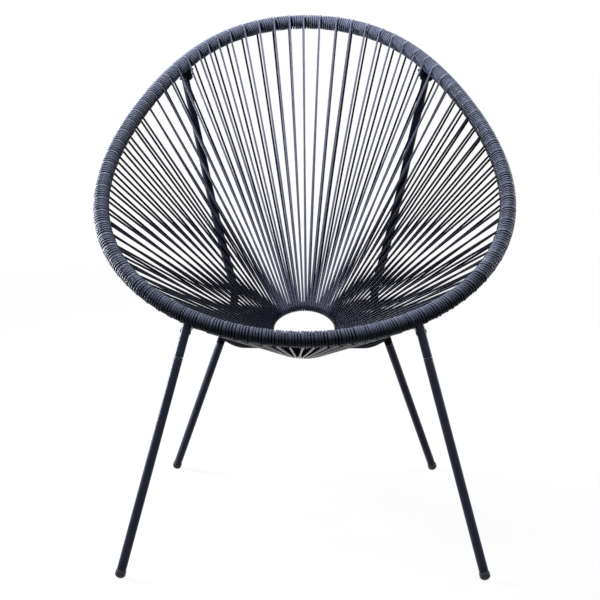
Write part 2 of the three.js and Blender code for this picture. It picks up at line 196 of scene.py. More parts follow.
def station_frame(station):
    """Points and tangents of hoop and seat ring, and the normals at both ends of the lacing."""
    station = np.asarray(station, dtype=float)
    angle = np.interp(station_share(station) * HOOP_LENGTH, LENGTHS, ANGLES)
    hoop = hoop_point(angle)
    nudge = 1e-4
    tangent = unit(hoop_point(angle + nudge) - hoop_point(angle - nudge))
    turn = station * (2 * math.pi / STATIONS)
    radial = np.stack([
        np.sin(turn),
        -np.cos(turn) * math.cos(RING_TILT),
        -np.cos(turn) * math.sin(RING_TILT),
    ], axis=-1)
    ring = RING_CENTRE + RING_RADIUS * radial
    line = unit(hoop - ring)
    ring_tangent = np.cross(RING_AXIS, radial)

    def inward(along, start):
        normal = unit(np.cross(along, line))
        flip = np.sum(normal * (HOOP_CENTRE - start), axis=-1, keepdims=True) < 0
        return np.where(flip, -normal, normal)

    return {
        "hoop": hoop,
        "tangent": tangent,
        "ring": ring,
        "line": line,
        "ring_tangent": ring_tangent,
        "hoop_normal": inward(tangent, hoop),
        "ring_normal": inward(ring_tangent, ring),
    }


def hoop_axes(station):
    """The frame at a station and the direction outwards, square to the hoop and to its normal."""
    f = station_frame(station)
    outward = np.cross(f["hoop_normal"], f["tangent"])
    flip = np.sum(outward * f["line"], axis=-1, keepdims=True) < 0
    return f, unit(np.where(flip, -outward, outward))


def under_lacing(station, share, off):
    """A point at this share of the way up a strand, and this far behind the lacing."""
    f = station_frame(station)
    normal = unit(f["ring_normal"] * (1 - share) + f["hoop_normal"] * share)
    return f["ring"] * (1 - share) + f["hoop"] * share - normal * off


# Frame: where its tubes meet, and the line of each tube
FRONT_STATION = 0.0979 * STATIONS
REAR_STATION = 0.3956 * STATIONS
FRONT_TOP = station_frame(FRONT_STATION)["hoop"]
REAR_TOP = station_frame(REAR_STATION)["hoop"]
FRONT_FOOT = np.array([290.7, -364.4, 0.0])
REAR_FOOT = np.array([256.8, 102.0, 0.0])
KNEE = np.array([125.5, 26.5, 369.6])
KNEE_BEND = 26
STUB_LENGTH = 66.9
KNEE_TO_JOINT = 101
FRONT_JOINT = towards(FRONT_TOP, FRONT_FOOT, STUB_LENGTH)
REAR_JOINT = towards(KNEE, REAR_FOOT, KNEE_TO_JOINT)

# Rear tube behind the lacing: station, share of the way up, share of the clearance
REAR_CLEARANCE = 24
REAR_ROUTE = ((35.451, 0.96, 0.9), (34.398, 0.73, 1), (32.652, 0.52, 1), (30.204, 0.33, 1))

# Side rail: share of the way back, share of the bow outwards, share of the sag
RAIL_FROM_HOOP = 24.5
RAIL_FROM_JOINT = 69
RAIL_BOW = 24.5
RAIL_SAG = 2.2
RAIL_BEND = 32
RAIL_ROUTE = ((0.243, 0.68, 1), (0.574, 1, -1))

BAR_FROM_JOINT = 15
BAR_BEND = 15
BAR_END = towards(REAR_JOINT, KNEE, BAR_FROM_JOINT)
BAR_CORNER = np.array([125.0, BAR_END[1], 273.1])


def rear_line():
    route = []
    for station, share, clearance_share in REAR_ROUTE:
        route.append(under_lacing(station, share, REAR_CLEARANCE * clearance_share))
    bow = catmull(route)
    bend = bezier(towards(KNEE, bow[-1], KNEE_BEND), KNEE, towards(KNEE, REAR_JOINT, KNEE_BEND))
    return eased(np.concatenate([REAR_TOP[None], bow, bend, REAR_JOINT[None]]), blur=7)


def stub_line():
    return even(np.array([FRONT_JOINT, FRONT_TOP]), step=4)


def rail_line():
    front = towards(FRONT_TOP, FRONT_FOOT, RAIL_FROM_HOOP)
    rear = towards(REAR_JOINT, KNEE, RAIL_FROM_JOINT)
    bowed = []
    for share, out, down in RAIL_ROUTE:
        straight = front * (1 - share) + rear * share
        bowed.append(straight + np.array([RAIL_BOW * out, 0, -RAIL_SAG * down]))
    return eased(rounded([front, *bowed, rear], RAIL_BEND), blur=5)


def bar_line():
    corners = [mirror(BAR_END, -1), mirror(BAR_CORNER, -1), BAR_CORNER, BAR_END]
    return eased(rounded(corners, BAR_BEND), blur=3)


# Meshes
def tangents_of(points, closed):
    if closed:
        return unit(np.roll(points, -1, axis=0) - np.roll(points, 1, axis=0))
    return unit(np.gradient(points, axis=0))


def untwisted_normals(points, tangents):
    """Normals carried along the line without twist."""
    steep = 0.8
    normal = BACKWARDS if abs(tangents[0][2]) > steep else UP
    normals = np.empty_like(points)
    for i, tangent in enumerate(tangents):
        normal = normal - tangent * np.dot(normal, tangent)
        normal = normal / np.linalg.norm(normal)
        normals[i] = normal
    return normals


def disc_ends(sides, rings):
    """Faces that close the first and the last ring of points."""
    first = list(range(sides))[::-1]
    last = [(rings - 1) * sides + i for i in range(sides)]
    return [first, last]


def sweep(points, radius, normals=None, sides=12, closed=False):
    """A round section pushed along the line. Returns vertices and faces."""
    points = np.asarray(points, dtype=float)
    count = len(points)
    tangents = tangents_of(points, closed)
    if normals is None:
        normals = untwisted_normals(points, tangents)
    normals = unit(normals - tangents * np.sum(normals * tangents, axis=1, keepdims=True))
    across = np.cross(tangents, normals)
    radius = np.broadcast_to(np.asarray(radius, dtype=float), (count,))
    turn = np.linspace(0, 2 * math.pi, sides, endpoint=False)[None, :, None]
    ring = normals[:, None, :] * np.cos(turn) + across[:, None, :] * np.sin(turn)
    verts = (points[:, None, :] + ring * radius[:, None, None]).reshape(-1, 3)
    row = np.arange(count if closed else count - 1)[:, None]
    next_row = (row + 1) % count
    side = np.arange(sides)[None, :]
    next_side = (side + 1) % sides
    corners = [
        row * sides + side,
        row * sides + next_side,
        next_row * sides + next_side,
        next_row * sides + side,
    ]
    faces = np.stack(corners, axis=-1).reshape(-1, 4).tolist()
    if not closed:
        faces += disc_ends(sides, count)
    return verts, faces


def lathe(profile, axis, base, sides=40):
    """A profile of (radius, height) turned round an axis that starts at base. Closed at both ends."""
    axis = unit(np.asarray(axis, dtype=float))
    aside = np.array([0.3, 1.0, 0.1])
    u = unit(np.cross(axis, aside))
    v = np.cross(axis, u)
    turn = np.linspace(0, 2 * math.pi, sides, endpoint=False)[:, None]
    circle = np.cos(turn) * u + np.sin(turn) * v
    verts = np.concatenate([base + axis * height + radius * circle for radius, height in profile])
    faces = []
    for row in range(len(profile) - 1):
        low = row * sides
        high = low + sides
        for i in range(sides):
            j = (i + 1) % sides
            faces.append([low + i, low + j, high + j, high + i])
    return verts, faces + disc_ends(sides, len(profile))


def piece(name, parts, materials, slot, *nodes, marks=None, painted_light=None):
    """One object from several parts. Marks choose each face's material, and a tone per point sets its
    painted light and shade.
    """
    verts = []
    faces = []
    base = 0
    for part_verts, part_faces in parts:
        verts.append(part_verts)
        faces.extend([[i + base for i in face] for face in part_faces])
        base += len(part_verts)
    placed = (np.concatenate(verts) + np.array([0, DEPTH_SHIFT, 0])) * METRES
    mesh = bpy.data.meshes.new(name)
    mesh.from_pydata(placed.tolist(), [], faces)
    mesh.update()
    if painted_light is not None:
        tones = np.concatenate(painted_light)
        mesh.attributes.new("painted_light", "FLOAT", "POINT").data.foreach_set("value", tones)
    mesh.polygons.foreach_set("use_smooth", [len(p.vertices) == 4 for p in mesh.polygons])
    for material in materials:
        mesh.materials.append(material)
    if marks is not None:
        mesh.polygons.foreach_set("material_index", np.concatenate(marks))
    obj = bpy.data.objects.new(name, mesh)
    bpy.context.scene.collection.objects.link(obj)
    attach(obj, "root")
    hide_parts(*nodes)


# Materials
NOISE_LOW = 0.3
NOISE_HIGH = 0.7
RELIEF_DEPTH = 0.0004
MIX_FACTOR = 0
MIX_FIRST_COLOUR = 6
MIX_SECOND_COLOUR = 7
MIX_COLOUR = 2
SATIN = (0.24, 0.32)
CORD_BUMP = 0.06
CORD_GRAIN = (55, 1400)
STEEL_GRAIN = (30, 2600)


def node(tree, kind, inputs=None):
    """A new shader node with constants on its inputs."""
    made = tree.nodes.new("ShaderNode" + kind)
    for name, value in (inputs or {}).items():
        made.inputs[name].default_value = value
    return made


def map_range(tree, source, from_min, from_max, to_min, to_max):
    made = node(tree, "MapRange", {
        "From Min": from_min, "From Max": from_max, "To Min": to_min, "To Max": to_max})
    tree.links.new(source, made.inputs["Value"])
    return made


def painted_shade_mix(tree, colour, painted_shade_colour):
    """Painted light and shade: the colour where the tone per point is high, and the colour of painted
    shade where it is low.
    """
    tone = node(tree, "Attribute")
    tone.attribute_name = "painted_light"
    lit_share = map_range(tree, tone.outputs["Fac"], from_min=0.15, from_max=0.85, to_min=0, to_max=1)
    lit_share.interpolation_type = "SMOOTHSTEP"
    shade = node(tree, "Mix")
    shade.data_type = "RGBA"
    shade.inputs[MIX_FIRST_COLOUR].default_value = (*painted_shade_colour, 1)
    tree.links.new(lit_share.outputs["Result"], shade.inputs[MIX_FACTOR])
    tree.links.new(colour, shade.inputs[MIX_SECOND_COLOUR])
    return shade.outputs[MIX_COLOUR]


def surface(name, dark, light, roughness, specular, grain, bump, metallic=0.0, painted_shade_colour=None):
    """A principled surface whose colour, roughness and relief vary with noise."""
    material = bpy.data.materials.new(name)
    material.use_nodes = True
    tree = material.node_tree
    tree.nodes.clear()
    coarse_scale, fine_scale = grain
    out = node(tree, "OutputMaterial")
    shader = node(tree, "BsdfPrincipled", {"Metallic": metallic, "Specular IOR Level": specular})
    coords = node(tree, "TexCoord")
    coarse = node(tree, "TexNoise", {"Scale": coarse_scale, "Detail": 4})
    fine = node(tree, "TexNoise", {"Scale": fine_scale, "Detail": 3})
    relief = node(tree, "Bump", {"Strength": bump, "Distance": RELIEF_DEPTH})
    tint = node(tree, "ValToRGB")
    first, second = tint.color_ramp.elements
    first.position = NOISE_LOW
    first.color = (*dark, 1)
    second.position = NOISE_HIGH
    second.color = (*light, 1)
    matt = map_range(tree, coarse.outputs["Fac"], NOISE_LOW, NOISE_HIGH, *roughness)
    colour = tint.outputs["Color"]
    # Painted shade mixed into the colour by a tone per point
    if painted_shade_colour is not None:
        colour = painted_shade_mix(tree, colour, painted_shade_colour)
    tree.links.new(coords.outputs["Object"], coarse.inputs["Vector"])
    tree.links.new(coords.outputs["Object"], fine.inputs["Vector"])
    tree.links.new(coarse.outputs["Fac"], tint.inputs["Fac"])
    tree.links.new(fine.outputs["Fac"], relief.inputs["Height"])
    tree.links.new(colour, shader.inputs["Base Color"])
    tree.links.new(matt.outputs["Result"], shader.inputs["Roughness"])
    tree.links.new(relief.outputs["Normal"], shader.inputs["Normal"])
    tree.links.new(shader.outputs["BSDF"], out.inputs["Surface"])
    return material


def cord_surface(name, dark, light, specular, painted_shade_colour):
    return surface(name, dark, light, SATIN, specular, CORD_GRAIN, CORD_BUMP, painted_shade_colour=painted_shade_colour)


# One cord in several tones, which follow how much light each stretch of it gets in the photo
SIDE_CORD = cord_surface(
    "cord_plastic", dark=(0.108, 0.122, 0.182), light=(0.136, 0.152, 0.218), specular=0.26,
    painted_shade_colour=(0.003, 0.004, 0.010))
BACK_CORD = cord_surface(
    "cord_plastic_back", dark=(0.142, 0.157, 0.222), light=(0.172, 0.188, 0.260), specular=0.08,
    painted_shade_colour=(0.002, 0.003, 0.008))
FRONT_CORD = cord_surface(
    "cord_plastic_front", dark=(0.115, 0.126, 0.180), light=(0.142, 0.155, 0.212), specular=0.03,
    painted_shade_colour=(0.002, 0.003, 0.007))
# A lighter copy of the cord for the first turns after each landing: a painted highlight
LANDING_CORD = cord_surface(
    "cord_plastic_painted_highlight", dark=(0.23, 0.245, 0.33), light=(0.27, 0.285, 0.37), specular=0.12,
    painted_shade_colour=(0.020, 0.022, 0.040))
# The upper strands' cord, a lit copy: its tone per point paints light, lighter at the back and darker
# at the sides
UPPER_CORD = cord_surface(
    "cord_plastic_lit", dark=(0.118, 0.124, 0.190), light=(0.150, 0.158, 0.228), specular=0.18,
    painted_shade_colour=(0.004, 0.006, 0.020))
# A near-black copy of the cord: painted shade on the lower strands and on the lashings
PAINTED_SHADE_CORD = surface(
    "cord_plastic_painted_shade", dark=(0.002, 0.0025, 0.009), light=(0.004, 0.005, 0.014),
    roughness=(0.34, 0.44), specular=0.03, grain=CORD_GRAIN, bump=0.10)
STEEL = surface(
    "coated_steel", dark=(0.027, 0.032, 0.062), light=(0.036, 0.043, 0.080),
    roughness=SATIN, specular=0.14, grain=STEEL_GRAIN, bump=0.10)
# Near-black steel: painted shade on the rear tubes, and on the hoop and ring under the cord
SHADED_STEEL = surface(
    "hoop_steel", dark=(0.003, 0.004, 0.008), light=(0.005, 0.006, 0.011),
    roughness=(0.44, 0.54), specular=0.02, grain=STEEL_GRAIN, bump=0.08)
ZINC = surface(
    "zinc", dark=(0.30, 0.31, 0.32), light=(0.42, 0.43, 0.45),
    roughness=(0.28, 0.42), specular=0.50, grain=(60, 2000), bump=0.12, metallic=1.0)
RUBBER = surface(
    "cap_rubber", dark=(0.006, 0.007, 0.009), light=(0.010, 0.011, 0.014),
    roughness=(0.45, 0.58), specular=0.35, grain=(60, 2200), bump=0.12)

# Strands: the station where each lands on the hoop, and where its lower half leaves the hoop.
# At the back each has a place of its own. Elsewhere pairs of strand and station are set, and the
# strands between them are spaced evenly
STRANDS = 88
BACK_FIRST = 33
BACK_LANDINGS = [
    32.98, 34.17, 35.2, 36.28, 37.46, 38.6, 39.7, 40.83, 41.93, 42.97, 44.1, 45.15,
    46.07, 47.13, 48.2, 49.32, 50.5, 51.6, 52.56, 53.55, 54.7, 55.87, 57.0]
BACK_DEPARTURES = [
    32.97, 34.25, 35.24, 36.4, 37.56, 38.72, 39.81, 40.94, 42.04, 43.06, 44.17, 45.17,
    46.07, 47.1, 48.17, 49.29, 50.49, 51.61, 52.56, 53.56, 54.78, 55.92, 57.0]
OTHER_LANDINGS = [
    (0, 0), (12, 12.45), (15, 15.5), (17, 17.35), (20, 20.3), (24, 24.25), (26, 26.1), (27, 27),
    (32, 32), (56, 58), (66, 68.05), (68, 70.15), (73, 75.1), (77, 79), (STRANDS, STATIONS)]
OTHER_DEPARTURES = [
    (-1, 0), (8, 8.31), (9, 9.31), (15, 14.5), (16, 15.45), (17, 16.55), (20, 19.65), (24, 23.85),
    (27, 26.7), (29, 28.6), (30, 29.65), (31, 30.5), (32, 31.6), (56, 58.15), (57, 59.15),
    (58, 60.5), (59, 61.45), (60, 62.6), (61, 63.57), (62, 64.6), (64, 66.62), (68, 70.65),
    (69, 71.8), (72, 74.8), (77, 79.7), (78, 80.69), (79, 81.75), (STRANDS - 1, STATIONS)]


def strand_stations(back, others):
    """The station of each strand, and last the one where a whole round ends."""
    strands, stations = zip(*sorted(others + list(enumerate(back, BACK_FIRST))))
    return np.interp(np.arange(STRANDS + 1), strands, stations)


LANDINGS = strand_stations(BACK_LANDINGS, OTHER_LANDINGS)
DEPARTURES = strand_stations(BACK_DEPARTURES, OTHER_DEPARTURES)

# Winding between one strand and the next: lengths in millimetres, places in turns, then shares
TURN_PITCH = 4.06
WANDER = 0.16
SWELL = 0.07
INNER_SWELL = 2.2
LANDING_LIFT = 0.5
BACK_LIFT = 0.65
LEAVING_LIFT = 1.0
# Turns after each landing that take the lighter cord: a painted highlight
HIGHLIGHT_TURN = 0.06
BACK_HIGHLIGHT_TURN = 0.26
TOUCH_TURN = -0.12
MISSING_TURN = 0.5
DRIFT_TURNS = 3
END_SWELL_SHARE = 0.35
# Painted shadow beside the next landing, and painted shade on the inner half at the sides
NOTCH_SHADE = 0.95
SIDE_SHADE = 0.55
POINTS_PER_TURN = 18
WIND_SIDES = 12
# Fans whose winding takes the front or back copy of the cord: painted light and shade by place
FRONT_FANS = (0, 1, 9)
BACK_FANS = (4, 5, 6)


def hoop_run(k):
    """Length of the hoop from the landing of strand k to the next."""
    a = station_share(LANDINGS[k]) * HOOP_LENGTH
    b = station_share(LANDINGS[k + 1]) * HOOP_LENGTH
    gap = float(abs(b - a))
    return min(gap, HOOP_LENGTH - gap)


TURNS = [int(round(hoop_run(k) / TURN_PITCH)) for k in range(STRANDS)]


def back_share(k):
    """1 for the strands at the back of the hoop, falling to 0 at its sides."""
    return float(1 - fade(abs(LANDINGS[k] - STATIONS / 2), start=9, width=7))


def side_share(k):
    """1 for the strands at the sides of the hoop, 0 at its back and front."""
    from_front = min(LANDINGS[k], STATIONS - LANDINGS[k])
    return (1 - back_share(k)) * float(fade(from_front, start=8, width=6))


def first_touch(k):
    """The turn at which the strand meets the hoop: on top at the back, on the inner side elsewhere."""
    return TOUCH_TURN * (1 - back_share(k))


def painted_shade_tones(k, points):
    """Painted light and shade on a winding: painted shade between turns, a painted shadow on the inner
    side beside the next landing, and painted shade on the inner half at the sides.
    """
    total = TURNS[k] - MISSING_TURN
    t = np.linspace(first_touch(k), total, len(points))
    inwards = -np.sin(2 * math.pi * t)
    next_landing = fade(t - total, start=-1.1, width=0.25) * fade(inwards, start=-0.45, width=0.8)
    inner_half = fade(inwards, start=-0.1, width=0.5)
    notch = NOTCH_SHADE * back_share(k) * next_landing
    shade = np.maximum(notch, SIDE_SHADE * side_share(k) * inner_half)
    # Painted shade between turns: the tone falls on the sides of each turn and where it faces the hoop
    away = np.cos(np.linspace(0, 2 * math.pi, WIND_SIDES, endpoint=False))
    return np.outer(1 - shade, away).ravel()


def winding(k):
    """The turns from the landing of strand k to the landing of the next. Returns points and normals."""
    turns = TURNS[k]
    total = turns - MISSING_TURN
    back = back_share(k)
    t = np.linspace(first_touch(k), total, int(total * POINTS_PER_TURN) + 1)
    pace = (LANDINGS[k + 1] - LANDINGS[k]) / turns

    # The turns wander and swell a little, but not where a strand lands or leaves
    knots = int(math.ceil(total)) + 2
    wander = rng.normal(0, WANDER, knots) * pace * turns / hoop_run(k)
    swell = rng.normal(0, SWELL, knots)
    for change in (wander, swell):
        change[[0, -1, -2]] = 0
    drift = MISSING_TURN * pace * fade(t - total, start=-DRIFT_TURNS, width=DRIFT_TURNS)
    station = LANDINGS[k] + t * pace + np.interp(t, np.arange(knots), wander) + drift

    # The cord is lifted where a strand lands or leaves, and its turns stand off on the inner side
    phase = 2 * math.pi * t
    landed = fade(t, start=0.03 + 0.11 * back, width=0.14)
    leaving = fade(t - total, start=-0.16, width=0.13)
    inner = np.maximum(0, -np.sin(phase)) ** 1.3
    middle = np.maximum(0, np.sin(math.pi * np.maximum(t, 0) / total)) ** 0.7
    radius = HOOP_WIND + np.interp(t, np.arange(knots), swell)
    radius = radius + (LANDING_LIFT + BACK_LIFT * back) * (1 - landed)
    radius = radius + LEAVING_LIFT * leaving
    swell_share = END_SWELL_SHARE + (1 - END_SWELL_SHARE) * middle
    radius = radius + INNER_SWELL * inner * swell_share

    f, outward = hoop_axes(station)
    normal = f["hoop_normal"] * np.cos(phase)[:, None] + outward * np.sin(phase)[:, None]
    return f["hoop"] + normal * radius[:, None], normal


# Lacing: how far each turn round the seat ring lies beside the strand's own place, in stations
LOWER_STEP = -0.62
UPPER_STEP = -0.45
RING_POINTS = 14
LACE_SIDES = 10
# Painted shade: the first rings of each listed lower strand take the near-black cord
PAINTED_SHADE_RINGS = 16
PAINTED_SHADE_STRANDS = range(9, 80)
# Painted light on the strands: a tone that is low at the sides and rises at the back
LACE_PAINTED_LIGHT = 0.22
BACK_LACE_PAINTED_LIGHT = 0.62

# Places along each strand, as shares of its length, closer where it meets the hoop
MIDDLE_SHARES = np.linspace(0.03, 0.97, 9)
LOWER_SHARES = np.concatenate([[0, 0.004, 0.012], MIDDLE_SHARES, [0.99, 1]])
UPPER_SHARES = np.concatenate([[0, 0.01], MIDDLE_SHARES, [0.988, 0.996, 1]])


def strand(shares, start, start_normal, end, end_normal):
    """A straight strand whose normal turns evenly from one end to the other."""
    t = shares[:, None]
    return start * (1 - t) + end * t, start_normal * (1 - t) + end_normal * t


def ring_turn(middle):
    """The half turn round the seat ring, from below to above."""
    points = []
    normals = []
    for t in np.linspace(0, 1, RING_POINTS)[1:-1]:
        f = station_frame(middle + LOWER_STEP + (UPPER_STEP - LOWER_STEP) * t)
        inner = unit(np.cross(f["ring_normal"], f["ring_tangent"]))
        if np.dot(inner, f["line"]) > 0:
            inner = -inner
        out = -f["ring_normal"] * math.cos(math.pi * t) + inner * math.sin(math.pi * t)
        points.append(f["ring"] + out * RING_WIND)
        normals.append(out)
    return points, normals


def lacing(k, landing, landing_normal):
    """The lower strand, its turn round the seat ring and the upper strand to the landing."""
    middle = k * STATIONS / STRANDS
    leaving = station_frame(DEPARTURES[k])
    lower_ring = station_frame(middle + LOWER_STEP)
    upper_ring = station_frame(middle + UPPER_STEP)
    start = leaving["hoop"] - leaving["hoop_normal"] * (HOOP_WIND + LEAVING_LIFT)
    lower_end = lower_ring["ring"] - lower_ring["ring_normal"] * RING_WIND
    upper_end = upper_ring["ring"] + upper_ring["ring_normal"] * RING_WIND
    stretches = [
        strand(LOWER_SHARES, start, -leaving["hoop_normal"], lower_end, -lower_ring["ring_normal"]),
        ring_turn(middle),
        strand(UPPER_SHARES, upper_end, upper_ring["ring_normal"], landing, landing_normal),
    ]
    points = np.concatenate([stretch[0] for stretch in stretches])
    normals = np.concatenate([stretch[1] for stretch in stretches])
    return points, normals


# The winding's copy of the cord by where it lies on the hoop: painted light and shade
def wound_cord(fan):
    if fan in FRONT_FANS:
        return FRONT_CORD
    if fan in BACK_FANS:
        return BACK_CORD
    return SIDE_CORD


def winding_piece(fan, strands):
    """The winding of one fan. Returns the point and normal where each of its strands lands."""
    parts = []
    marks = []
    tones = []
    landings = {}
    for k in strands:
        points, normals = winding(k)
        landings[k] = points[0], normals[0]
        verts, faces = sweep(points, CORD_DRAWN, normals, sides=WIND_SIDES)
        # The first turns after the landing take the lighter cord: a painted highlight
        highlight_turns = HIGHLIGHT_TURN + BACK_HIGHLIGHT_TURN * back_share(k)
        light = highlight_turns * POINTS_PER_TURN * WIND_SIDES
        parts.append((verts, faces))
        marks.append(np.array([max(face) < light for face in faces], dtype=np.int32))
        tones.append(painted_shade_tones(k, points))
    piece(f"winding_{fan + 1:02d}", parts, [wound_cord(fan), LANDING_CORD], "cord",
          f"rim_wrap_{fan + 1:02d}", marks=marks, painted_light=tones)
    return landings


def lacing_piece(fan, landings):
    """The lacing of one fan. Its lower strands are dark with painted shade, but for those seen under
    the front rim, and its strands carry painted light, lighter at the back.
    """
    parts = []
    marks = []
    tones = []
    for k, (landing, landing_normal) in landings.items():
        points, normals = lacing(k, landing, landing_normal)
        verts, faces = sweep(points, CORD_DRAWN, normals, sides=LACE_SIDES)
        # Faces that take the near-black cord: painted shade
        under = [k in PAINTED_SHADE_STRANDS and min(face) // LACE_SIDES < PAINTED_SHADE_RINGS for face in faces]
        parts.append((verts, faces))
        marks.append(np.array(under, dtype=np.int32))
        # Painted light: lighter strands at the back, painted shade at the sides
        tone = LACE_PAINTED_LIGHT + BACK_LACE_PAINTED_LIGHT * back_share(k)
        tones.append(np.full(len(verts), tone))
    piece(f"lacing_{fan + 1:02d}", parts, [UPPER_CORD, PAINTED_SHADE_CORD], "cord",
          f"seat_cords_{fan + 1:02d}", marks=marks, painted_light=tones)


def fan_of(k, fans):
    """The fan in which strand k lands, the first one lying across the front."""
    return int((LANDINGS[k] + STATIONS_PER_FAN / 2) // STATIONS_PER_FAN) % fans


def cord_pieces():
    fans = STATIONS // STATIONS_PER_FAN
    for fan in range(fans):
        strands = [k for k in range(STRANDS) if fan_of(k, fans) == fan]
        landings = winding_piece(fan, strands)
        lacing_piece(fan, landings)


# Hoop and seat ring under the cord
RING_STEP = 0.25
RING_SIDES = 20


def ring_pieces():
    around = station_frame(np.arange(0, STATIONS, RING_STEP))
    hoop = sweep(around["hoop"], HOOP, around["hoop_normal"], sides=RING_SIDES, closed=True)
    ring = sweep(around["ring"], RING, around["ring_normal"], sides=RING_SIDES, closed=True)
    piece("hoop", [hoop], [SHADED_STEEL], "hoop_steel", "rim_tube")
    piece("ring", [ring], [SHADED_STEEL], "hoop_steel", "seat_ring")


# Frame tubes with rounded ends and weld beads
TUBE_SIDES = 32
END_ROUND = 0.9
END_ANGLES = (0, 0.5, 1.0, 1.5)
WELD_BEAD = 1.5
WELD_STEPS = 72
WELD_SIDES = 10
WELD_RIPPLES = 19
RIPPLE_SHARE = 0.13
ROUGHNESS_SHARE = 0.04


def end_rings(end, inner, angles):
    """Close rings of points that round the edge at a tube's end. Returns points and radii."""
    direction = unit(inner - end)
    points = [end + direction * END_ROUND * (1 - math.cos(a)) for a in angles]
    radii = [TUBE - END_ROUND * (1 - math.sin(a)) for a in angles]
    return points, radii


def tube(line, round_start=False, round_end=False):
    radii = np.full(len(line), TUBE)
    if round_start:
        points, sizes = end_rings(line[0], line[1], END_ANGLES)
        line = np.concatenate([points, line[1:]])
        radii = np.concatenate([sizes, radii[1:]])
    if round_end:
        points, sizes = end_rings(line[-1], line[-2], END_ANGLES[::-1])
        line = np.concatenate([line[:-1], points])
        radii = np.concatenate([radii[:-1], sizes])
    return sweep(line, radii, sides=TUBE_SIDES)


def weld(end, inner, other_point, other_axis):
    """A weld bead where a tube that starts on another tube's axis leaves that tube's surface."""
    direction = unit(inner - end)
    other_axis = unit(other_axis)
    u = unit(np.cross(direction, other_axis))
    v = np.cross(direction, u)
    turn = np.linspace(0, 2 * math.pi, WELD_STEPS, endpoint=False)
    curve = []
    for a in turn:
        start = end + TUBE * (math.cos(a) * u + math.sin(a) * v)
        p = start - other_point
        p = p - other_axis * np.dot(p, other_axis)
        d = direction - other_axis * np.dot(direction, other_axis)
        square = np.dot(d, d)
        linear = 2 * np.dot(p, d)
        constant = np.dot(p, p) - TUBE ** 2
        root = max(linear * linear - 4 * square * constant, 0.0)
        curve.append(start + direction * (math.sqrt(root) - linear) / (2 * square))
    ripple = np.sin(turn * WELD_RIPPLES + rng.uniform(0, 6))
    size = WELD_BEAD * (1 + RIPPLE_SHARE * ripple + rng.normal(0, ROUGHNESS_SHARE, len(turn)))
    return sweep(np.array(curve), size, sides=WELD_SIDES, closed=True)


def frame_pieces():
    rear = rear_line()
    rail = rail_line()
    bar = bar_line()
    stub = stub_line()
    # A weld's direction is taken from the tube's end to a point a few steps along it
    inner = 5
    rear_axis = KNEE - REAR_FOOT
    front_axis = FRONT_TOP - FRONT_FOOT
    for side, label in SIDES:
        # The rear tubes take the near-black steel: painted shade
        piece(f"rear_tube_{label}", [tube(mirror(rear, side), round_end=True)], [SHADED_STEEL],
              "frame_steel", f"rear_frame_tube_{label}")
        piece(f"stub_{label}", [tube(mirror(stub, side), round_start=True)], [STEEL],
              "frame_steel", f"front_stub_{label}")
        line = mirror(rail, side)
        beads = [
            weld(line[0], line[inner], mirror(FRONT_FOOT, side), mirror(front_axis, side)),
            weld(line[-1], line[-1 - inner], mirror(REAR_FOOT, side), mirror(rear_axis, side)),
        ]
        piece(f"rail_{label}", [tube(line), *beads], [STEEL], "frame_steel", f"side_rail_{label}")
    beads = [
        weld(bar[0], bar[inner], mirror(REAR_FOOT, -1), mirror(rear_axis, -1)),
        weld(bar[-1], bar[-1 - inner], REAR_FOOT, rear_axis),
    ]
    piece("cross_tube", [tube(bar), *beads], [STEEL], "frame_steel", "crossbar")


# Legs and foot caps
CAP = 8.5
CAP_MIDDLE = 2
CAP_PRESSED = 0.6
DOME = 6.5
DOME_START = 0.05
DOME_RINGS = 10
SLEEVE = 13.0
SEAM = 0.3
LEG_STEP = 12
# How far each point of the cap's upper edge lies inside its rim, and below its top
CAP_EDGE = ((0, 0.9), (0.25, 0.3), (0.9, 0))


def cap_profile():
    """Radius and height of a foot cap, from the middle of its dome to the middle of its top."""
    angles = np.linspace(DOME_START, math.pi / 2, DOME_RINGS)
    dome = [(CAP * math.sin(a), DOME * (1 - math.cos(a))) for a in angles]
    edge = [(CAP - inside, SLEEVE - below) for inside, below in CAP_EDGE]
    return dome + edge + [(CAP_MIDDLE, SLEEVE)]


def leg_pieces(name, low, high):
    """A leg tube and its cap, which is pressed flat where it stands on the floor."""
    axis = unit(high - low)
    lean = math.acos(axis[2])
    upright = DOME * math.cos(lean)
    base = low.copy()
    base[2] = math.hypot(CAP * math.sin(lean), upright) - upright - CAP_PRESSED
    verts, faces = lathe(cap_profile(), axis, base)
    verts[:, 2] = np.maximum(verts[:, 2], 0)
    piece(f"cap_{name}", [(verts, faces)], [RUBBER], "cap", f"foot_cap_{name}")
    line = even(np.array([base + axis * (SLEEVE + SEAM), high - axis * SEAM]), LEG_STEP)
    piece(f"leg_tube_{name}", [tube(line, round_start=True, round_end=True)], [STEEL],
          "frame_steel", f"leg_{name}")


# Lashings: loops of cord round the top of a rear tube and slanted ties over them
LOOPS = 5
LOOP_STEPS = 28
LOOP_PITCH = 4.15
LOOPS_FROM_TOP = 16.5
LOOP_CLEARANCE = 0.15
LOOP_RADIUS = TUBE + LOOP_CLEARANCE + CORD
TIE_RADIUS = TUBE + 2.7 * CORD
TIE_STEPS = 36
# Distance from the top, slant and the angle that the slant is turned by
TIES = ((21.0, 6.5, 0.4), (27.0, 7.5, 2.3), (24.0, 5.0, 4.1))


def beside(line, distance, angle, radius):
    """A point beside the line, this far along it, and the direction to it from the line."""
    near = 4
    along = lengths_along(line)

    def at(length):
        return np.array([np.interp(length, along, line[:, i]) for i in range(3)])

    direction = unit(at(distance + near) - at(distance - near))
    u = unit(np.cross(UP, direction))
    v = np.cross(direction, u)
    out = u * math.cos(angle) + v * math.sin(angle)
    return at(distance) + out * radius, out


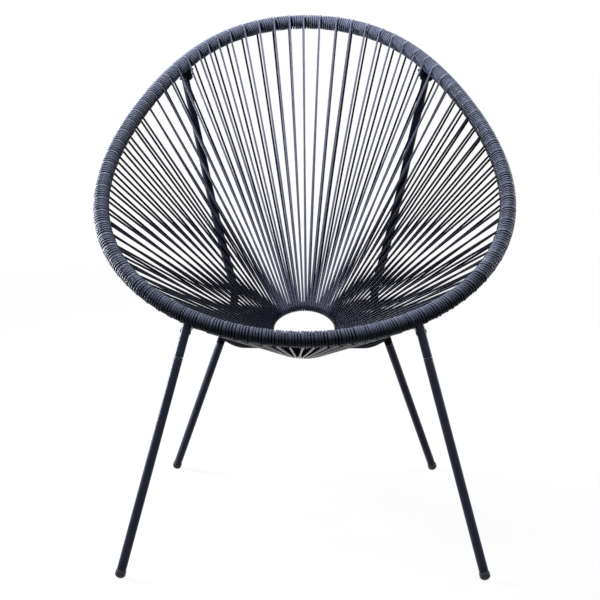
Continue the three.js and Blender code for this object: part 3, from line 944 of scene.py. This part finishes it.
def wrapped(line, places, radius, closed):
    """Cord through places of (distance, angle) beside the line."""
    pairs = [beside(line, distance, angle, radius) for distance, angle in places]
    points = [point for point, _ in pairs]
    normals = np.array([normal for _, normal in pairs])
    return sweep(points, CORD_DRAWN, normals, closed=closed)


def lashing_piece(side, label):
    line = mirror(rear_line(), side)
    loops = []
    for t in np.linspace(0, 1, LOOPS * LOOP_STEPS + 1):
        loops.append((LOOPS_FROM_TOP + t * LOOPS * LOOP_PITCH, side * t * LOOPS * 2 * math.pi))
    parts = [wrapped(line, loops, LOOP_RADIUS, closed=False)]
    for middle, slant, turned in TIES:
        tie = []
        for a in np.linspace(0, 2 * math.pi, TIE_STEPS, endpoint=False):
            tie.append((middle + slant * math.sin(a + turned), a))
        parts.append(wrapped(line, tie, TIE_RADIUS, closed=True))
    # The lashing takes the near-black cord: painted shade
    piece(f"lashing_{label}", parts, [PAINTED_SHADE_CORD], "cord", f"strut_lashing_{label}")


cord_pieces()
ring_pieces()
frame_pieces()
for name, foot, joint in (("front", FRONT_FOOT, FRONT_JOINT), ("rear", REAR_FOOT, REAR_JOINT)):
    for side, label in SIDES:
        leg_pieces(f"{name}_{label}", mirror(foot, side), mirror(joint, side))
for side, label in SIDES:
    lashing_piece(side, label)

# CAD pieces that are kept and only get a material
for name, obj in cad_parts.items():
    if name.startswith(("leg_bush_", "leg_stud_")):
        obj.data.materials.clear()
        obj.data.materials.append(ZINC)


# Studio
def sees_background(tree):
    """1 for camera, mirror and glass rays, 0 for the rays that light the object."""
    path = node(tree, "LightPath")
    seen = path.outputs["Is Camera Ray"]
    for ray in ("Is Glossy Ray", "Is Transmission Ray"):
        either = node(tree, "Math")
        either.operation = "MAXIMUM"
        tree.links.new(seen, either.inputs[0])
        tree.links.new(path.outputs[ray], either.inputs[1])
        seen = either.outputs[0]
    return seen


def studio_world():
    """Faint light on the object, white where the background is seen."""
    world = bpy.data.worlds.new("studio")
    bpy.context.scene.world = world
    world.use_nodes = True
    tree = world.node_tree
    tree.nodes.clear()
    out = node(tree, "OutputWorld")
    fill = node(tree, "Background", {"Color": (0.93, 0.95, 1.0, 1), "Strength": 0.02})
    white = node(tree, "Background", {"Color": (1, 1, 1, 1), "Strength": 1.0})
    mix = node(tree, "MixShader")
    tree.links.new(sees_background(tree), mix.inputs[0])
    tree.links.new(fill.outputs[0], mix.inputs[1])
    tree.links.new(white.outputs[0], mix.inputs[2])
    tree.links.new(mix.outputs[0], out.inputs["Surface"])


def floor_material():
    """A matt floor that takes the shadow, with a glow for the background that rises with distance."""
    material = bpy.data.materials.new("floor")
    material.use_nodes = True
    tree = material.node_tree
    tree.nodes.clear()
    out = node(tree, "OutputMaterial")
    matt = node(tree, "BsdfDiffuse", {"Color": (0.07, 0.07, 0.07, 1)})
    glow = node(tree, "Emission", {"Color": (1, 1, 1, 1)})
    dark = node(tree, "Emission", {"Strength": 0.0})
    place = node(tree, "TexCoord")
    reach = node(tree, "VectorMath")
    reach.operation = "LENGTH"
    rise = map_range(tree, reach.outputs["Value"], from_min=0.8, from_max=3.0, to_min=0.90, to_max=1.0)
    pick = node(tree, "MixShader")
    total = node(tree, "AddShader")
    tree.links.new(place.outputs["Object"], reach.inputs[0])
    tree.links.new(rise.outputs["Result"], glow.inputs["Strength"])
    tree.links.new(sees_background(tree), pick.inputs[0])
    tree.links.new(dark.outputs[0], pick.inputs[1])
    tree.links.new(glow.outputs[0], pick.inputs[2])
    tree.links.new(matt.outputs[0], total.inputs[0])
    tree.links.new(pick.outputs[0], total.inputs[1])
    tree.links.new(total.outputs[0], out.inputs["Surface"])
    return material


def studio_floor():
    half = 40.0
    corners = [(-half, -half, 0), (half, -half, 0), (half, half, 0), (-half, half, 0)]
    mesh = bpy.data.meshes.new("floor")
    mesh.from_pydata(corners, [], [(0, 1, 2, 3)])
    mesh.materials.append(floor_material())
    floor = bpy.data.objects.new("floor", mesh)
    bpy.context.scene.collection.objects.link(floor)


# Lamps and camera, places in metres and power in watts
LAMP_COLOUR = (0.95, 0.97, 1.0)
LAMP_TARGET = Vector((0, 0.1, 0.6))
CAMERA_PLACE = (0.01494, -1.96882, 0.82726)
CAMERA_DOWN = math.radians(13.144)
CAMERA_TURN = math.radians(0.668)


def lamp(name, place, width, height, power):
    data = bpy.data.lights.new(name, "AREA")
    data.shape = "RECTANGLE"
    data.size = width
    data.size_y = height
    data.energy = power
    data.color = LAMP_COLOUR
    obj = bpy.data.objects.new(name, data)
    bpy.context.scene.collection.objects.link(obj)
    obj.location = place
    obj.rotation_euler = (LAMP_TARGET - Vector(place)).to_track_quat("-Z", "Y").to_euler()


def photo_camera():
    data = bpy.data.cameras.new("camera")
    data.lens = 66.0
    data.sensor_width = 36.0
    camera = bpy.data.objects.new("camera", data)
    camera.location = CAMERA_PLACE
    camera.rotation_mode = "XYZ"
    camera.rotation_euler = (math.pi / 2 - CAMERA_DOWN, 0, CAMERA_TURN)
    bpy.context.scene.collection.objects.link(camera)
    bpy.context.scene.camera = camera


studio_world()
studio_floor()
lamp("top", (0.0, 0.0, 2.5), 1.4, 0.9, 56)
lamp("left", (-1.1, 0.3, 0.75), 0.5, 1.1, 44)
lamp("right", (1.5, 0.6, 0.9), 0.5, 1.1, 15)
photo_camera()
bpy.context.scene.view_settings.view_transform = "Standard"
